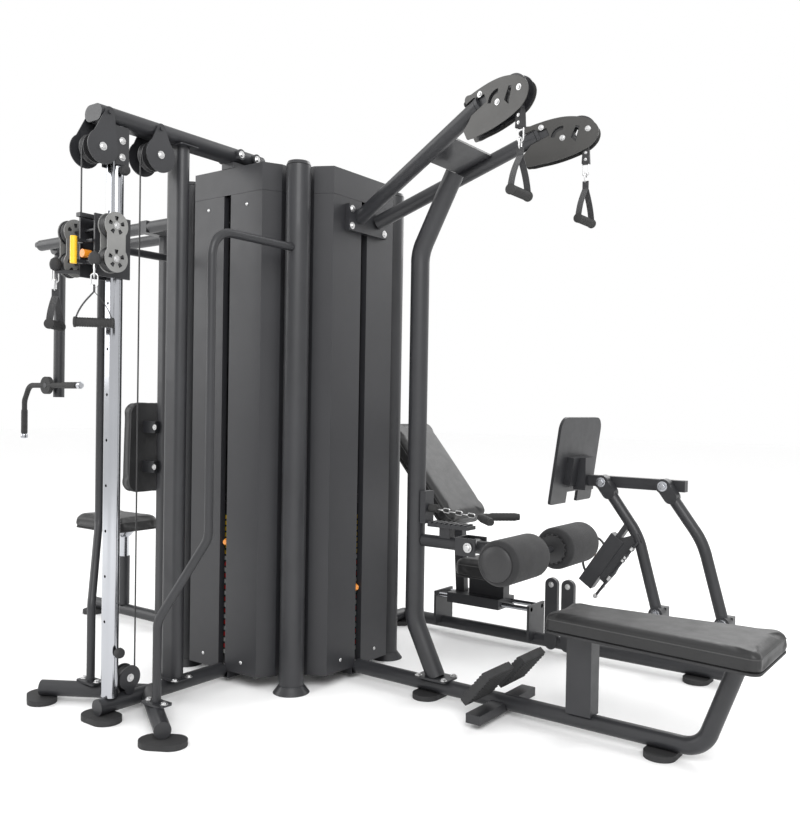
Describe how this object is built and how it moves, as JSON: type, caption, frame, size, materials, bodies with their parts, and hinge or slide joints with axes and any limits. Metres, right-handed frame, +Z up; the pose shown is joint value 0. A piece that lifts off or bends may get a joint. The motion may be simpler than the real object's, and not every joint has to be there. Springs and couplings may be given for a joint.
{
  "type": "multi station home gym",
  "caption": "Strength training tower with weight stacks, a cable column, a lat pulldown and row station, a leg press and a press station.",
  "frame": {"origin": "floor point under the tower centre, on the central foot", "axes": "+X along the lat pulldown and row arm, -Y along the cable column arm, +Z up"},
  "size_m": [4.2074, 2.3057, 2.3207],
  "materials": {
    "powder_coat": "matte",
    "shroud_paint": "satin",
    "chrome": "polished",
    "plate_paint": "matte",
    "orange_plastic": "satin",
    "pulley_nylon": "satin",
    "black_vinyl": "satin",
    "grip_rubber": "matte",
    "cable_jacket": "satin",
    "rubber": "matte",
    "foam": "matte",
    "yellow_plastic": "satin"
  },
  "bodies": {
    "frame": {"base_frame": "powder_coat", "corner_posts": "powder_coat", "shroud_lat": "shroud_paint", "shroud_cable": "shroud_paint", "shroud_leg": "shroud_paint", "shroud_press": "shroud_paint", "crown_cap": "shroud_paint", "guide_rods": "chrome", "resting_plates": "plate_paint", "top_beam": "powder_coat", "chrome_column": "chrome", "rear_post": "powder_coat", "trident_base": "powder_coat", "feet": "rubber", "pulley_housings": "powder_coat", "grab_tubes": "powder_coat", "rear_cable": "cable_jacket", "lat_upright": "powder_coat", "lat_arms": "powder_coat", "row_station": "powder_coat", "foot_pads": "powder_coat", "bench_pad": "black_vinyl", "leg_frame": "powder_coat", "press_frame": "powder_coat", "press_back_pad": "black_vinyl"},
    "stack_lat": {"plates_lat": "plate_paint"},
    "selector_lat": {"pin_lat": "orange_plastic"},
    "stack_cable": {"plates_cable": "plate_paint"},
    "selector_cable": {"pin_cable": "orange_plastic"},
    "stack_leg": {"plates_leg": "plate_paint"},
    "selector_leg": {"pin_leg": "orange_plastic"},
    "stack_press": {"plates_press": "plate_paint"},
    "selector_press": {"pin_press": "orange_plastic"},
    "carriage": {"carriage": "powder_coat", "yellow_grip": "yellow_plastic", "carriage_handles": "grip_rubber", "carriage_cable": "cable_jacket"},
    "pop_pin": {"pop_pin": "orange_plastic"},
    "carriage_pulleys_upper": {"carriage_pulleys_upper": "pulley_nylon"},
    "carriage_pulleys_lower": {"carriage_pulleys_lower": "pulley_nylon"},
    "top_pulley_front": {"top_pulley_front": "pulley_nylon"},
    "top_pulley_rear": {"top_pulley_rear": "pulley_nylon"},
    "bottom_pulley": {"bottom_pulley": "pulley_nylon"},
    "head_left": {"head_left": "powder_coat"},
    "head_pulley_left": {"head_pulley_left": "pulley_nylon"},
    "lat_handle_left": {"lat_handle_left": "grip_rubber"},
    "head_right": {"head_right": "powder_coat"},
    "head_pulley_right": {"head_pulley_right": "pulley_nylon"},
    "lat_handle_right": {"lat_handle_right": "grip_rubber"},
    "roller_arm": {"roller_arm": "powder_coat"},
    "foam_rollers": {"foam_rollers": "foam"},
    "row_handle": {"row_handle": "grip_rubber"},
    "leg_seat": {"leg_seat": "powder_coat", "leg_pads": "black_vinyl"},
    "leg_arm_inner": {"leg_arm_inner": "powder_coat"},
    "leg_arm_outer": {"leg_arm_outer": "powder_coat"},
    "leg_link": {"leg_link": "powder_coat"},
    "press_arm": {"press_arm": "powder_coat"},
    "press_grips": {"press_grips": "grip_rubber"},
    "press_seat": {"press_seat": "black_vinyl"}
  },
  "joints": [
    {"name": "lift_lat", "type": "slide", "parent": "frame", "child": "stack_lat", "axis": [0, 0, 1], "range_m": [0, 1.1]},
    {"name": "selector_pull_lat", "type": "slide", "parent": "stack_lat", "child": "selector_lat", "axis": [1, 0, 0], "range_m": [0, 0.03]},
    {"name": "lift_cable", "type": "slide", "parent": "frame", "child": "stack_cable", "axis": [0, 0, 1], "range_m": [0, 1.1]},
    {"name": "selector_pull_cable", "type": "slide", "parent": "stack_cable", "child": "selector_cable", "axis": [0, -1, 0], "range_m": [0, 0.03]},
    {"name": "lift_leg", "type": "slide", "parent": "frame", "child": "stack_leg", "axis": [0, 0, 1], "range_m": [0, 1.1]},
    {"name": "selector_pull_leg", "type": "slide", "parent": "stack_leg", "child": "selector_leg", "axis": [0, 1, 0], "range_m": [0, 0.03]},
    {"name": "lift_press", "type": "slide", "parent": "frame", "child": "stack_press", "axis": [0, 0, 1], "range_m": [0, 1.1]},
    {"name": "selector_pull_press", "type": "slide", "parent": "stack_press", "child": "selector_press", "axis": [-1, 0, 0], "range_m": [0, 0.03]},
    {"name": "carriage_slide", "type": "slide", "parent": "frame", "child": "carriage", "axis": [0, 0, 1], "range_m": [-1.2, 0.15], "deforming": ["carriage_cable"]},
    {"name": "pop_pin_pull", "type": "slide", "parent": "carriage", "child": "pop_pin", "axis": [0, -1, 0], "range_m": [0, 0.02], "stiffness_N_per_m": 400, "springref_m": -0.005},
    {"name": "carriage_pulleys_upper_spin", "type": "hinge", "parent": "carriage", "child": "carriage_pulleys_upper", "pos_m": [0, -1.05, 1.786], "axis": [1, 0, 0], "continuous": true},
    {"name": "carriage_pulleys_lower_spin", "type": "hinge", "parent": "carriage", "child": "carriage_pulleys_lower", "pos_m": [0, -1.05, 1.67], "axis": [1, 0, 0], "continuous": true},
    {"name": "top_pulley_front_spin", "type": "hinge", "parent": "frame", "child": "top_pulley_front", "pos_m": [0, -1.048, 2.076], "axis": [1, 0, 0], "continuous": true},
    {"name": "top_pulley_rear_spin", "type": "hinge", "parent": "frame", "child": "top_pulley_rear", "pos_m": [0, -0.795, 2.106], "axis": [1, 0, 0], "continuous": true},
    {"name": "bottom_pulley_spin", "type": "hinge", "parent": "frame", "child": "bottom_pulley", "pos_m": [0, -0.883, 0.135], "axis": [1, 0, 0], "continuous": true},
    {"name": "head_swivel_left", "type": "hinge", "parent": "frame", "child": "head_left", "pos_m": [1.105, -0.221, 2.255], "axis": [0.8952, -0.2135, 0.3912], "range_deg": [-60, 60]},
    {"name": "head_pulley_spin_left", "type": "hinge", "parent": "head_left", "child": "head_pulley_left", "pos_m": [1.2116, -0.24643, 2.23748], "axis": [0.232, 0.9727, 0], "continuous": true},
    {"name": "lat_handle_swing_left", "type": "hinge", "parent": "head_left", "child": "lat_handle_left", "pos_m": [1.29989, -0.26749, 2.20544], "axis": [0.232, 0.9727, 0], "range_deg": [-30, 30]},
    {"name": "head_swivel_right", "type": "hinge", "parent": "frame", "child": "head_right", "pos_m": [1.105, 0.221, 2.255], "axis": [0.8952, 0.2135, 0.3912], "range_deg": [-60, 60]},
    {"name": "head_pulley_spin_right", "type": "hinge", "parent": "head_right", "child": "head_pulley_right", "pos_m": [1.2116, 0.24643, 2.23748], "axis": [-0.232, 0.9727, 0], "continuous": true},
    {"name": "lat_handle_swing_right", "type": "hinge", "parent": "head_right", "child": "lat_handle_right", "pos_m": [1.29989, 0.26749, 2.20544], "axis": [-0.232, 0.9727, 0], "range_deg": [-30, 30]},
    {"name": "roller_arm_turn", "type": "hinge", "parent": "frame", "child": "roller_arm", "pos_m": [0.983, 0, 0.628], "axis": [0, 1, 0], "range_deg": [0, 25]},
    {"name": "foam_rollers_spin", "type": "hinge", "parent": "roller_arm", "child": "foam_rollers", "pos_m": [1.28, 0, 0.64], "axis": [0, 1, 0], "continuous": true},
    {"name": "row_pull", "type": "slide", "parent": "frame", "child": "row_handle", "axis": [1, 0, 0], "range_m": [0, 0.45]},
    {"name": "leg_seat_slide", "type": "slide", "parent": "frame", "child": "leg_seat", "axis": [1, 0, 0], "range_m": [-0.035, 0.08]},
    {"name": "leg_press_swing", "type": "hinge", "parent": "frame", "child": "leg_arm_inner", "pos_m": [1.415, 0.9, 0.275], "axis": [0, 1, 0], "range_deg": [0, 38]},
    {"name": "leg_arm_outer_swing", "type": "hinge", "parent": "frame", "child": "leg_arm_outer", "pos_m": [1.7, 0.9, 0.275], "axis": [0, 1, 0], "range_deg": [0, 38]},
    {"name": "leg_link_turn", "type": "hinge", "parent": "leg_arm_inner", "child": "leg_link", "pos_m": [1.15, 0.9, 0.84], "axis": [0, 1, 0], "range_deg": [-38, 0]},
    {"name": "press_arm_swing", "type": "hinge", "parent": "frame", "child": "press_arm", "pos_m": [-1.85, 0, 2.05], "axis": [0, 1, 0], "range_deg": [0, 45]},
    {"name": "press_grips_turn", "type": "hinge", "parent": "press_arm", "child": "press_grips", "pos_m": [-1.85, -0.075, 1.257], "axis": [0, 1, 0], "range_deg": [-60, 60]},
    {"name": "press_seat_slide", "type": "slide", "parent": "frame", "child": "press_seat", "axis": [0, 0, 1], "range_m": [0, 0.12]}
  ],
  "couplings": [
    {"joint": "leg_arm_outer_swing", "follows": "leg_press_swing", "ratio": 1},
    {"joint": "leg_link_turn", "follows": "leg_press_swing", "ratio": -1}
  ]
}
